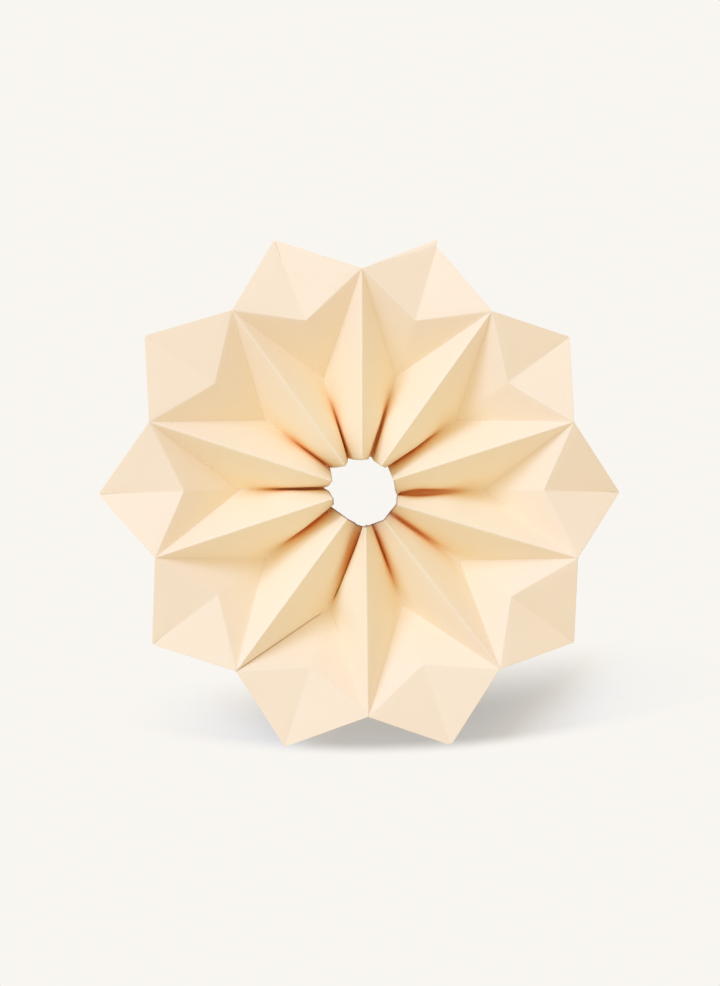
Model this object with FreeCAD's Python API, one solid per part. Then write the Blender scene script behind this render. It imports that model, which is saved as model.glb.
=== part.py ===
import FreeCAD, Part
import math
import os

os.makedirs("parts", exist_ok=True)

# A ten-pointed star, accordion-folded from one long strip of heavy paper. The strip's two ends are
# glued into a ring, and a thread through all twenty panels gathers the inner edge round a hole.
# The star lies on its back: +Z is its axis, z = 0 is what its inner valleys rest on, and a point
# lies along +X. Sizes are in millimetres and angles in degrees.

# The flat strip. Each panel runs from the rim to the hole, between a ridge fold and a valley fold.
# The breaks are where the folds across a panel meet its valley, measured inwards from the ridge's
# outer end, and the point reaches outwards past that end.
POINTS = 10
RIDGE_LENGTH = 109.5
TIP_REACH = 30.0
RIM_BREAK = 17.0
VALLEY_BREAK = 62.5
TIP_BLUNT = 1.5
PAPER_THICKNESS = 0.3

# The folded star. A panel is wider than half the gap between two ridges at the rim by PANEL_SPARE,
# which is what lets the rim fold inwards.
HOLE_RADIUS = 18.0
RIDGE_RISE = 1.2
PANEL_SPARE = 0.6

# The glued seam. The strip's last panel lies behind its first one as a tab, and the front layer's
# point stops short of the tab's.
SEAM_POINT = 2
SEAM_SETBACK = 4.5

# The gathering thread, its knot and the two tails that stand into the hole. The knot hangs off the
# left panel of its point, and the tails lean to either side of that panel's direction.
THREAD_DIAMETER = 0.8
THREAD_CLEARANCE = 0.4
THREAD_FROM_VALLEY = 8.0
THREAD_FROM_EDGE = 3.0
KNOT_DIAMETER = 2.4
KNOT_POINT = 7
KNOT_FROM_PANEL = 3.3
TAIL_LENGTH = 7.0
TAIL_SPREAD = 24.0

# How far sharp creases are crushed. At 0 each fold would be a full mitre of the sheet.
CREASE_CRUSH = 0.02

SECTOR = 360.0 / POINTS
UP = FreeCAD.Vector(0, 0, 1)


def turned(vector, angle):
    """Return a vector turned about the star's axis."""
    return FreeCAD.Rotation(UP, angle).multVec(vector)


def ridge_point(distance):
    """Return the point of the ridge next to +X that lies a distance out from the hole."""
    rise = math.radians(RIDGE_RISE)
    radius = HOLE_RADIUS + distance * math.cos(rise)
    return turned(FreeCAD.Vector(radius, 0, distance * math.sin(rise)), SECTOR / 2)


def meet(centre_a, radius_a, centre_b, radius_b):
    """Return the two points of the plane y = 0 at the given distances from two points in space."""
    reach_a = math.sqrt(radius_a ** 2 - centre_a.y ** 2)
    reach_b = math.sqrt(radius_b ** 2 - centre_b.y ** 2)
    start = FreeCAD.Vector(centre_a.x, 0, centre_a.z)
    span = FreeCAD.Vector(centre_b.x, 0, centre_b.z) - start
    along = (span.Length ** 2 + reach_a ** 2 - reach_b ** 2) / (2 * span.Length)
    aside = math.sqrt(reach_a ** 2 - along ** 2)
    direction = span / span.Length
    middle = start + direction * along
    normal = FreeCAD.Vector(-direction.z, 0, direction.x)
    return middle + normal * aside, middle - normal * aside


def lowest(points):
    """Return the lowest of some points."""
    return min(points, key=lambda point: point.z)


def highest(points):
    """Return the highest of some points."""
    return max(points, key=lambda point: point.z)


def fold_sector():
    """Return the corners of the star's point on +X, and the width of its panels.

    Each length on the folded sheet is the length on the flat strip, so every corner lies where its
    distances from the corners before it meet.
    """
    hole = ridge_point(0)
    rim = ridge_point(RIDGE_LENGTH)
    width = rim.y + PANEL_SPARE
    inner = RIDGE_LENGTH - VALLEY_BREAK
    valley_break = lowest(meet(rim, math.hypot(width, VALLEY_BREAK), hole, math.hypot(width, inner)))
    rim_break = highest(meet(rim, math.hypot(width, RIM_BREAK), valley_break, VALLEY_BREAK - RIM_BREAK))
    tip = lowest(meet(rim, math.hypot(width, TIP_REACH), rim_break, RIM_BREAK + TIP_REACH))
    valley_end = lowest(meet(valley_break, inner, hole, width))
    corners = {"hole": hole, "rim": rim, "tip": tip}
    corners.update({"rim_break": rim_break, "valley_break": valley_break, "valley_end": valley_end})
    return corners, width


def panel_keys(sector, left):
    """Return a panel's corner names, each with the (name, turn) that it has on the whole star."""
    ridge = sector if left else (sector - 1) % POINTS
    keys = {name: (name, ridge) for name in ("rim", "hole")}
    keys.update({name: (name, sector) for name in ("tip", "rim_break", "valley_break", "valley_end")})
    return keys


def panel_facets(keys):
    """Return a panel's four flat facets as triples of corners."""
    return [
        (keys["tip"], keys["rim"], keys["rim_break"]),
        (keys["rim_break"], keys["rim"], keys["valley_break"]),
        (keys["valley_break"], keys["rim"], keys["hole"]),
        (keys["valley_break"], keys["hole"], keys["valley_end"]),
    ]


def upward_normal(points):
    """Return the unit normal of a triangle, on the side that faces the front."""
    normal = (points[1] - points[0]).cross(points[2] - points[0]).normalize()
    return normal if normal.z > 0 else -normal


def common_shift(normals):
    """Return the vector that reaches as near as it can to one unit along each of the normals."""
    total = FreeCAD.Vector(0, 0, 0)
    for normal in normals:
        total += normal
    products = FreeCAD.Matrix()
    products.A11 = CREASE_CRUSH + sum(n.x * n.x for n in normals)
    products.A22 = CREASE_CRUSH + sum(n.y * n.y for n in normals)
    products.A33 = CREASE_CRUSH + sum(n.z * n.z for n in normals)
    products.A12 = products.A21 = sum(n.x * n.y for n in normals)
    products.A13 = products.A31 = sum(n.x * n.z for n in normals)
    products.A23 = products.A32 = sum(n.y * n.z for n in normals)
    return products.inverse().multVec(total)


def star_points(corners):
    """Return every corner of the star's middle surface."""
    points = {}
    for turn in range(POINTS):
        for name, corner in corners.items():
            points[name, turn] = turned(corner, SECTOR * turn)
    return points


def corner_shifts(points, panels):
    """Return the way that each corner of the given panels moves as the sheet gets thicker."""
    normals = {}
    for sector, left in panels:
        for facet in panel_facets(panel_keys(sector, left)):
            normal = upward_normal([points[key] for key in facet])
            for key in facet:
                normals.setdefault(key, []).append(normal)
    return {key: common_shift(found) for key, found in normals.items()}


def between(start, end, share):
    """Return the front and back point that lie a share of the way from one corner to another."""
    return tuple(a + (b - a) * share for a, b in zip(start, end))


def face(points):
    """Return the flat face inside a closed run of points."""
    return Part.Face(Part.makePolygon(points + points[:1]))


def skins(outline):
    """Return the front face and the back face of a flat facet."""
    return [face([corner[0] for corner in outline]), face([corner[1] for corner in outline])]


def cut_edges(run):
    """Return the sheet's cut edge along a run of corners, as two triangles for each stretch."""
    faces = []
    for start, end in zip(run, run[1:]):
        faces.append(face([start[0], start[1], end[1]]))
        faces.append(face([start[0], end[1], end[0]]))
    return faces


def panel_faces(corner, setback, loose):
    """Return the faces of one panel, and its cut edges.

    corner gives the front and back point of each corner name. A loose panel, such as the glue tab,
    is also closed along its ridge and its valley.
    """
    fold = RIM_BREAK + TIP_REACH
    tip = between(corner["tip"], corner["rim_break"], setback / fold)
    fold_end = between(tip, corner["rim_break"], TIP_BLUNT / (fold - setback))
    blunt_end = between(tip, corner["rim"], TIP_BLUNT / TIP_REACH)
    faces = skins([fold_end, blunt_end, corner["rim"], corner["rim_break"]])
    for facet in panel_facets(corner)[1:]:
        faces += skins(list(facet))
    faces += cut_edges([fold_end, blunt_end, corner["rim"]])
    faces += cut_edges([corner["hole"], corner["valley_end"]])
    if loose:
        faces += cut_edges([corner["rim"], corner["hole"]])
        faces += cut_edges([fold_end, corner["rim_break"], corner["valley_break"], corner["valley_end"]])
    return faces


def closed_solid(faces):
    """Return the solid that a closed set of faces bounds."""
    shell = Part.makeShell(faces)
    shell.sewShape()
    solid = Part.Solid(shell)
    return solid if solid.Volume > 0 else solid.reversed()


def folded_sheet(points):
    """Return the pleated ring of twenty panels with its glue tab, as one sheet."""
    half = PAPER_THICKNESS / 2
    panels = [(sector, left) for sector in range(POINTS) for left in (True, False)]
    shifts = corner_shifts(points, panels)
    layer = {}
    for key, shift in shifts.items():
        layer[key] = (points[key] + shift * half, points[key] - shift * half)
    faces = []
    for sector, left in panels:
        setback = SEAM_SETBACK if sector == SEAM_POINT else 0
        corner = {name: layer[key] for name, key in panel_keys(sector, left).items()}
        faces += panel_faces(corner, setback, False)
    return closed_solid(faces).fuse(glue_tab(points, layer))


def glue_tab(points, layer):
    """Return the strip's last panel, which lies behind the front layer of the seam's left half."""
    shifts = corner_shifts(points, [(SEAM_POINT, True)])
    corner = {}
    for name, key in panel_keys(SEAM_POINT, True).items():
        front = layer[key][1]
        corner[name] = (front, front - shifts[key] * PAPER_THICKNESS)
    return closed_solid(panel_faces(corner, 0, True))


def thread_crossing(corner, width):
    """Return where the thread passes through a panel, and the direction of its hole there."""
    along_edge = (corner["hole"] - corner["valley_end"]) * (THREAD_FROM_VALLEY / width)
    inner = RIDGE_LENGTH - VALLEY_BREAK
    off_edge = (corner["valley_break"] - corner["valley_end"]) * (THREAD_FROM_EDGE / inner)
    direction = upward_normal([corner["valley_break"], corner["hole"], corner["valley_end"]])
    return corner["valley_end"] + along_edge + off_edge, direction


def thread_crossings(points, width):
    """Return the twenty crossings in order round the star, from the first panel before +X."""
    crossings = []
    for sector in range(POINTS):
        for left in (False, True):
            corner = {name: points[key] for name, key in panel_keys(sector, left).items()}
            crossings.append(thread_crossing(corner, width))
    return crossings


def thread_punches(crossings):
    """Return the cylinders that punch the thread's holes through the panels."""
    radius = THREAD_DIAMETER / 2 + THREAD_CLEARANCE
    half_length = THREAD_FROM_EDGE
    punches = []
    for place, direction in crossings:
        start = place - direction * half_length
        punches.append(Part.makeCylinder(radius, 2 * half_length, start, direction))
    return punches


def gathering_thread(crossings):
    """Return the tight thread, straight from hole to hole, with its knot and two cut tails."""
    after = (2 * KNOT_POINT + 2) % len(crossings)
    places = [place for place, direction in crossings]
    start, panel_direction = crossings[after - 1]
    along = (places[after] - start).normalize()
    knot_place = start + along * KNOT_FROM_PANEL
    path = Part.makePolygon([knot_place] + places[after:] + places[:after] + [knot_place])
    profile = Part.Wire(Part.makeCircle(THREAD_DIAMETER / 2, knot_place, along))
    ring = path.makePipeShell([profile], True, True, 1)
    inwards = panel_direction.cross(UP).normalize()
    knot = Part.makeSphere(KNOT_DIAMETER / 2)
    knot.Placement = FreeCAD.Placement(knot_place, FreeCAD.Rotation(FreeCAD.Vector(-1, 0, 0), inwards))
    pieces = [knot]
    for side in (1, -1):
        direction = turned(inwards, side * TAIL_SPREAD)
        pieces.append(Part.makeCylinder(THREAD_DIAMETER / 2, TAIL_LENGTH, knot_place, direction))
    return ring.fuse(pieces)


corners, panel_width = fold_sector()
points = star_points(corners)
crossings = thread_crossings(points, panel_width)
nodes = {
    "folded_star": folded_sheet(points).cut(thread_punches(crossings)),
    "gathering_thread": gathering_thread(crossings),
}
lift = UP * -nodes["folded_star"].BoundBox.ZMin
for name, shape in nodes.items():
    shape.translate(lift)
    shape.exportStep("parts/" + name + ".step")
    print(name, "solids", len(shape.Solids), "valid", shape.isValid(), "volume", round(shape.Volume, 1))
strip_length = (2 * POINTS + 1) * panel_width
print("flat strip", round(strip_length, 1), "x", RIDGE_LENGTH + TIP_REACH, "with its glued panel")
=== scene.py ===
"""A ten-pointed star folded from one strip of heavy cream paper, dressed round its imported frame.

Lengths are in metres and angles in degrees, in the frame's own axes: +Z is the star's axis, z = 0 is
what its inner valleys rest on, and a point lies along +X.
"""

import logging
import math
from dataclasses import dataclass, field
from enum import Enum

import bmesh
import bpy
import numpy as np
from mathutils import Matrix, Vector


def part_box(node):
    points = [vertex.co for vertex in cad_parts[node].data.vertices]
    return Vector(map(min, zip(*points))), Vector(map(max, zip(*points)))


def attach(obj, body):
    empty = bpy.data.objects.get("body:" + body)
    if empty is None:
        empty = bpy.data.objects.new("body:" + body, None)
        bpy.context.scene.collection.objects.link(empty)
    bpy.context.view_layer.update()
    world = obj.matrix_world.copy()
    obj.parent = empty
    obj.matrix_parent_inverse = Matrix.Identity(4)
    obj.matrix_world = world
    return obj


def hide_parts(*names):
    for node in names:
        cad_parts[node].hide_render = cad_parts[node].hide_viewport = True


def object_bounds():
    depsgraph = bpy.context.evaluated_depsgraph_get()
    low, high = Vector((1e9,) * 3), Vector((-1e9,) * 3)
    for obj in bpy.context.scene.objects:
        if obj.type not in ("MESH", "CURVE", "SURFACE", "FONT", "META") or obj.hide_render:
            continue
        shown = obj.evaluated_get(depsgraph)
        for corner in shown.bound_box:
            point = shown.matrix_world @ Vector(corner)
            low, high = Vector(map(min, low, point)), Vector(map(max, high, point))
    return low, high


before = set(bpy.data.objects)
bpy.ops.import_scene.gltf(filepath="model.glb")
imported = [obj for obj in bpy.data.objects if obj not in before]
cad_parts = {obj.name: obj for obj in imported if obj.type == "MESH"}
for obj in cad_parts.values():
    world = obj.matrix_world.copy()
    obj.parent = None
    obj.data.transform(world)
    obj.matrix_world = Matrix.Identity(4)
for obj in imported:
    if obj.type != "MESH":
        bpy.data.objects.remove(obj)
CAD_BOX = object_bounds()

LOG = logging.getLogger("paper_star")
BODY = "root"
LIGHT_BOUNCES = 16
SAME_PLACE = 1e-6
MERGE_DIGITS = 7
MILLIMETRES = 1000
# The flank's corners, row by row.
FLANK = ("rim", "valley_break", "hole", "valley_end")
# The thread: where along a tail the fray begins, and how finely its plies are made.
FRAY_FROM = 0.62
WOBBLE_SCALE = 900.0
CORNER_POINTS = 3
PLY_SIDES = 7
Colour = tuple[float, float, float, float]
Corners = dict[str, np.ndarray]


# ---------------------------------------------------------------- node trees


class Sketch:
    """Adds nodes to a tree and links them, one line for each node."""

    def __init__(self, tree: bpy.types.NodeTree) -> None:
        """Keep the tree that the nodes go into."""
        self.tree = tree

    def node(self, kind: str, inputs: dict | None = None, **settings: object) -> bpy.types.Node:
        """Add one node.

        Args:
            kind: the node's type name.
            inputs: values or other nodes' outputs, by input name or number.
            **settings: the node's own properties.

        Returns:
            The new node.
        """
        made = self.tree.nodes.new(kind)
        for name, value in settings.items():
            setattr(made, name, value)
        self.fill(made, inputs or {})
        return made

    def fill(self, node: bpy.types.Node, inputs: dict) -> None:
        """Set or link a node's inputs, by name or number."""
        for key, value in inputs.items():
            self.feed(node.inputs[key], value)

    def feed(self, socket: bpy.types.NodeSocket, value: object) -> None:
        """Set a socket, or link it if the value is another node's output.

        Args:
            socket: the input to set or link.
            value: a plain value, or another node's output.
        """
        if isinstance(value, bpy.types.NodeSocket):
            self.tree.links.new(value, socket)
        else:
            socket.default_value = value

    def math(
        self, operation: str, first: object, second: object = 0.0, third: object = 0.0,
    ) -> bpy.types.NodeSocket:
        """Return the output of a math node with so many of its three values set."""
        made = self.node("ShaderNodeMath", {0: first, 1: second, 2: third}, operation=operation)
        return made.outputs[0]

    def vector(self, operation: str, first: object, second: object = (0.0, 0.0, 0.0)) -> bpy.types.NodeSocket:
        """Return the vector that a vector math node puts out.

        Args:
            operation: the vector math node's operation.
            first: its first vector.
            second: its second vector, or the scale for SCALE.

        Returns:
            The vector's socket.
        """
        other = "Scale" if operation == "SCALE" else 1
        made = self.node("ShaderNodeVectorMath", {0: first, other: second}, operation=operation)
        return made.outputs[0]

    def ramp(self, value: object, low: float, high: float, smooth: bool = True) -> bpy.types.NodeSocket:
        """Return a value that runs from 0 at low to 1 at high, held there outside.

        Args:
            value: what is measured.
            low: the value that gives 0.
            high: the value that gives 1.
            smooth: whether the ends are eased.

        Returns:
            The value's socket.
        """
        kind = "SMOOTHSTEP" if smooth else "LINEAR"
        inputs = {"Value": value, "From Min": low, "From Max": high}
        return self.node("ShaderNodeMapRange", inputs, interpolation_type=kind).outputs[0]

    def blend(self, share: object, first: object, second: object) -> bpy.types.NodeSocket:
        """Return a colour that goes from the first to the second as the share goes from 0 to 1."""
        return self.node("ShaderNodeMix", {0: share, 6: first, 7: second}, data_type="RGBA").outputs[2]


def new_group(name: str, kind: str, inputs: list[tuple], outputs: list[tuple]) -> bpy.types.NodeTree:
    """Make an empty node group with named sockets.

    Args:
        name: the group's name.
        kind: ShaderNodeTree or GeometryNodeTree.
        inputs: (name, socket type, default or None) for each input.
        outputs: (name, socket type) for each output.

    Returns:
        The group.
    """
    group = bpy.data.node_groups.new(name, kind)
    for title, socket, default in inputs:
        made = group.interface.new_socket(title, in_out="INPUT", socket_type=socket)
        if default is not None:
            made.default_value = default
    for title, socket in outputs:
        group.interface.new_socket(title, in_out="OUTPUT", socket_type=socket)
    return group


def finished_mesh(piece: bpy.types.Object) -> bpy.types.Mesh:
    """Return a piece's mesh as its modifiers leave it.

    Args:
        piece: the object, with its modifiers on it.

    Returns:
        The new mesh.
    """
    bpy.context.view_layer.update()
    depsgraph = bpy.context.evaluated_depsgraph_get()
    return bpy.data.meshes.new_from_object(piece.evaluated_get(depsgraph), depsgraph=depsgraph)


def bake_nodes(
    piece: bpy.types.Object, tree: bpy.types.NodeTree, values: dict[str, object],
) -> bpy.types.Mesh:
    """Run a geometry node tree on a piece, and return the result as a plain mesh.

    Args:
        piece: the object that carries the tree's input geometry.
        tree: the geometry node tree.
        values: the tree's inputs by name.

    Returns:
        The mesh.
    """
    modifier = piece.modifiers.new(tree.name, "NODES")
    modifier.node_group = tree
    for item in tree.interface.items_tree:
        if item.item_type == "SOCKET" and item.in_out == "INPUT" and item.name in values:
            modifier[item.identifier] = values[item.name]
    mesh = finished_mesh(piece)
    piece.modifiers.remove(modifier)
    return mesh


def new_object(name: str, data: bpy.types.ID | None) -> bpy.types.Object:
    """Return a new object at the origin, linked to the scene.

    Args:
        name: the object's name.
        data: its mesh, curve, light or camera.

    Returns:
        The object.
    """
    made = bpy.data.objects.new(name, data)
    bpy.context.scene.collection.objects.link(made)
    return made


def pull(items: bpy.types.bpy_prop_collection, name: str, width: int, kind: type = np.float32) -> np.ndarray:
    """Return one property of every item of a mesh, as rows of so many values.

    Args:
        items: the mesh's vertices, edges, loops or attribute values.
        name: the property's name.
        width: how many values each item has.
        kind: the type of a value.

    Returns:
        The rows.
    """
    values = np.zeros(len(items) * width, kind)
    items.foreach_get(name, values)
    return values.reshape(-1, width)


def bearing(places: np.ndarray) -> np.ndarray:
    """Return each place's angle about the star's axis, in degrees."""
    return np.degrees(np.arctan2(places[:, 1], places[:, 0]))


# ---------------------------------------------------------------- finishes


class Slot(Enum):
    """The record's material slots."""

    PAPER = "cream_paper"
    THREAD = "cotton_thread"


def new_finish(name: str, colour: Colour) -> tuple[bpy.types.Material, Sketch, bpy.types.NodeSocket]:
    """Return a new material, the sketch of its tree and the place on the object.

    Args:
        name: the material's name.
        colour: its colour where nodes are not shown.

    Returns:
        The material, the sketch and the socket of the place.
    """
    material = bpy.data.materials.new(name)
    material.use_nodes = True
    material.diffuse_color = colour
    pen = Sketch(material.node_tree)
    return material, pen, pen.node("ShaderNodeTexCoord").outputs["Object"]


@dataclass(frozen=True)
class PaperGrain:
    """The fibres, tooth and faint clouding of heavy paper."""

    tooth_scale: float = 2600.0
    cloud_scale: float = 34.0
    strand_scale: float = 420.0
    strand_ramp: tuple[float, float] = (0.52, 0.78)
    strand_mean: float = 0.25
    strand_height: float = 0.6
    strand_turns: tuple[tuple[float, ...], ...] = ((0.4, 0.2, 0.5), (1.1, 0.7, 2.2))
    strand_stretches: tuple[tuple[float, ...], ...] = ((1.0, 9.0, 4.0), (8.0, 1.0, 3.0))

    def make(self) -> bpy.types.NodeTree:
        """Make the group that gives the grain.

        Returns:
            The group. Tone multiplies a colour, and Height is for a bump.
        """
        group = new_group(
            "Paper Tooth", "ShaderNodeTree",
            [("Place", "NodeSocketVector", None), ("Tooth", "NodeSocketFloat", self.tooth_scale),
             ("Fibre", "NodeSocketFloat", 0.5), ("Cloud", "NodeSocketFloat", 0.5)],
            [("Tone", "NodeSocketFloat"), ("Height", "NodeSocketFloat")],
        )
        pen = Sketch(group)
        given = pen.node("NodeGroupInput").outputs
        tooth = self.noise(pen, given["Place"], given["Tooth"], 3.0)
        fibres = []
        for turn, stretch in zip(self.strand_turns, self.strand_stretches):
            inputs = {"Vector": given["Place"], "Rotation": turn, "Scale": stretch}
            turned = pen.node("ShaderNodeMapping", inputs).outputs[0]
            fibres.append(pen.ramp(self.noise(pen, turned, self.strand_scale, 2.0), *self.strand_ramp))
        fibre = pen.math("MAXIMUM", fibres[0], fibres[1])
        centred = pen.math("SUBTRACT", self.noise(pen, given["Place"], self.cloud_scale, 3.0), 0.5)
        tone = pen.math("MULTIPLY_ADD", centred, given["Cloud"], 1.0)
        tone = pen.math("MULTIPLY_ADD", pen.math("SUBTRACT", fibre, self.strand_mean), given["Fibre"], tone)
        height = pen.math("MULTIPLY_ADD", fibre, self.strand_height, tooth)
        pen.node("NodeGroupOutput", {"Tone": tone, "Height": height})
        return group

    @staticmethod
    def noise(pen: Sketch, place: bpy.types.NodeSocket, scale: object, detail: float) -> bpy.types.NodeSocket:
        """Return the value of a noise texture."""
        return pen.node("ShaderNodeTexNoise", {"Vector": place, "Scale": scale, "Detail": detail}).outputs[0]


@dataclass(frozen=True)
class FoldMarks:
    """Where the folds show. Each ramp goes from its 0 to its 1, as a share or in metres."""

    fold_width: float = 0.0006
    cross_widths: float = 1.7
    bottom: tuple[float, float] = (0.5, 0.88)
    near_hole: tuple[float, float] = (0.038, 0.016)
    inner: tuple[float, float] = (0.100, 0.045)
    rim: tuple[float, float] = (0.0011, 0.0004)

    def make(self, sizes: "StripSizes") -> bpy.types.NodeTree:
        """Return the group that finds the folds on the flat strip's own coordinates.

        Args:
            sizes: the strip's sizes, which say where the folds run.

        Returns:
            The group. Ridge and Valley are 1 on a fold that stands up or lies down, Cross is 1 on
            the valley folds that run from the rim alone, Depth is 1 at the bottom of the inner
            pleats, Inner is 1 towards the hole, and Rim is 1 on the hole's edge.
        """
        group = new_group(
            "Fold Lines", "ShaderNodeTree",
            [("Strip", "NodeSocketVector", None), ("Width", "NodeSocketFloat", self.fold_width)],
            [(name, "NodeSocketFloat") for name in ("Ridge", "Valley", "Cross", "Depth", "Inner", "Rim")],
        )
        pen = Sketch(group)
        given = pen.node("NodeGroupInput").outputs
        axes = pen.node("ShaderNodeSeparateXYZ", {0: given["Strip"]}).outputs
        across, along = axes[0], axes[1]
        width = sizes.panel_width

        def near(distance: object, widths: float = 1.0) -> bpy.types.NodeSocket:
            """Return 1 on a line, falling to 0 at so many of the given widths."""
            share = pen.math("DIVIDE", pen.math("ABSOLUTE", distance), given["Width"])
            return pen.ramp(share, widths, 0.0)

        def line(drop: float, widths: float = 1.0) -> bpy.types.NodeSocket:
            """Return the nearness to a fold that crosses the panel.

            Args:
                drop: how far the fold falls from the ridge's outer end to the valley.
                widths: how many of the given widths the mark reaches.

            Returns:
                The nearness, 1 on the fold.
            """
            length = math.hypot(drop, width)
            rise = pen.math("MULTIPLY", across, drop / length)
            beyond = pen.math("SUBTRACT", along, sizes.ridge_length)
            return near(pen.math("ADD", rise, pen.math("MULTIPLY", beyond, width / length)), widths)

        inside = pen.math("LESS_THAN", along, sizes.ridge_length - sizes.valley_break)
        sunk = pen.math("MULTIPLY", near(pen.math("SUBTRACT", across, width)), inside)
        cross = line(sizes.valley_break, self.cross_widths)
        bottom = pen.ramp(across, *(share * width for share in self.bottom))
        pen.node("NodeGroupOutput", {
            "Ridge": pen.math("MAXIMUM", near(across), line(sizes.rim_break)),
            "Valley": pen.math("MAXIMUM", sunk, cross), "Cross": cross,
            "Depth": pen.math("MULTIPLY", bottom, pen.ramp(along, *self.near_hole)),
            "Inner": pen.ramp(along, *self.inner), "Rim": pen.ramp(along, *self.rim),
        })
        return group


@dataclass(frozen=True)
class PaperFinish:
    """Uncoated heavy cream paper, with painted shade in its deep pleats, along its valley folds, in one
    crease and on the hole's lower edge.
    """

    colour: Colour = (0.963, 0.832, 0.620, 1.0)
    # Painted: warmer towards the hole, standing in for the warm light bounced about inside the star.
    inner: Colour = (0.975, 0.858, 0.615, 1.0)
    worn: Colour = (0.98, 0.89, 0.74, 1.0)
    # Painted shade along the valley folds.
    pressed: Colour = (0.90, 0.73, 0.50, 1.0)
    # Painted shade and warm bounced light at the bottom of the pleats near the hole.
    deep_pleat_shade: Colour = (0.970, 0.715, 0.35, 1.0)
    # Painted shadow of the overlapping panel, along one valley fold that runs from the rim.
    crease_shadow: Colour = (0.52, 0.32, 0.15, 1.0)
    # Painted shade on the hole's edge, on its -Y side.
    rim: Colour = (0.46, 0.29, 0.20, 1.0)
    wear: float = 0.28
    wear_scale: float = 55.0
    wear_ramp: tuple[float, float] = (0.40, 0.70)
    valley_share: float = 0.3
    crease_shadow_share: float = 0.85
    rim_shade_share: float = 0.85
    # The bearings, in degrees, between which the painted crease shadow lies.
    crease_shadow_bearings: tuple[float, float] = (-124.0, -109.0)
    crease_shadow_blur: float = 0.03
    # Where the painted shade on the hole's edge begins and where it is full, along Y.
    rim_shade_side: tuple[float, float] = (0.004, -0.010)
    roughness: float = 0.86
    rough_swing: float = 0.08
    rough_drop: float = 0.05
    specular: float = 0.25
    fibre: float = 0.035
    cloud: float = 0.03
    tooth_depth: float = 0.00002

    def make(self, name: str, tooth: bpy.types.NodeTree, folds: bpy.types.NodeTree) -> bpy.types.Material:
        """Return the material.

        Args:
            name: the material's name.
            tooth: the group that gives fibres and tooth.
            folds: the group that finds the folds.

        Returns:
            The material.
        """
        material, pen, place = new_finish(name, self.colour)
        strip = pen.node("ShaderNodeUVMap", uv_map="Strip").outputs[0]
        grain = pen.node("ShaderNodeGroup", node_tree=tooth)
        pen.fill(grain, {"Place": place, "Fibre": self.fibre, "Cloud": self.cloud})
        marks = pen.node("ShaderNodeGroup", node_tree=folds)
        pen.fill(marks, {"Strip": strip})
        height, fold = grain.outputs["Height"], marks.outputs
        # Painted warmth towards the hole, for the light bounced inside the star.
        body = pen.blend(fold["Inner"], self.colour, self.inner)
        body = pen.vector("SCALE", body, grain.outputs["Tone"])
        handled = pen.node("ShaderNodeTexNoise", {"Vector": place, "Scale": self.wear_scale, "Detail": 2.0})
        wear = pen.math("MULTIPLY", fold["Ridge"], pen.ramp(handled.outputs[0], *self.wear_ramp))
        axes = pen.node("ShaderNodeSeparateXYZ", {0: place}).outputs
        turn = pen.math("ARCTAN2", axes[1], axes[0])
        low, high = (math.radians(angle) for angle in self.crease_shadow_bearings)
        blur = self.crease_shadow_blur
        sector = pen.math("MULTIPLY", pen.ramp(turn, low - blur, low), pen.ramp(turn, high + blur, high))
        # Painted shadow: the fold from the rim, dark only between those bearings. The material colours both
        # faces of the sheet.
        crease_shadow_mask = pen.math("MULTIPLY", fold["Cross"], sector)
        # Painted shade: the hole's edge darkens towards -Y.
        rim = pen.math("MULTIPLY", fold["Rim"], pen.ramp(axes[1], *self.rim_shade_side))
        # Painted shade and bounced light: the deep pleats, the valley folds, one crease and the hole's -Y
        # edge. The lighter ridges are the paper's own wear.
        layers = [(fold["Depth"], 1.0, self.deep_pleat_shade), (fold["Valley"], self.valley_share, self.pressed),
                  (wear, self.wear, self.worn), (crease_shadow_mask, self.crease_shadow_share, self.crease_shadow),
                  (rim, self.rim_shade_share, self.rim)]
        for mark, share, colour in layers:
            body = pen.blend(pen.math("MULTIPLY", mark, share), body, colour)
        rough = pen.math("MULTIPLY_ADD", height, self.rough_swing, self.roughness - self.rough_drop)
        bump = pen.node("ShaderNodeBump", {"Height": height, "Distance": self.tooth_depth})
        pen.fill(material.node_tree.nodes["Principled BSDF"], {
            "Base Color": body, "Roughness": rough, "Normal": bump.outputs[0],
            "Specular IOR Level": self.specular,
        })
        return material


@dataclass(frozen=True)
class CutEdgeFinish:
    """The sheet's cut edge, where the pressed fibres show end on."""

    # Darker than the sheet: partly the raw edge's own tone, partly painted shade for the cut edges that lie
    # in shade round the hole.
    colour: Colour = (0.70, 0.55, 0.40, 1.0)
    roughness: float = 0.9
    specular: float = 0.2
    layers: float = 5200.0
    fibre: float = 0.18
    tooth_depth: float = 0.00003

    def make(self, name: str, tooth: bpy.types.NodeTree) -> bpy.types.Material:
        """Return the material.

        Args:
            name: the material's name.
            tooth: the group that gives fibres and tooth.

        Returns:
            The material.
        """
        material, pen, place = new_finish(name, self.colour)
        grain = pen.node("ShaderNodeGroup", node_tree=tooth)
        pen.fill(grain, {"Place": place, "Tooth": self.layers, "Fibre": self.fibre})
        body = pen.vector("SCALE", self.colour[:3], grain.outputs["Tone"])
        bump = pen.node("ShaderNodeBump", {"Height": grain.outputs["Height"], "Distance": self.tooth_depth})
        pen.fill(material.node_tree.nodes["Principled BSDF"], {
            "Base Color": body, "Roughness": self.roughness, "Normal": bump.outputs[0],
            "Specular IOR Level": self.specular,
        })
        return material


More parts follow.
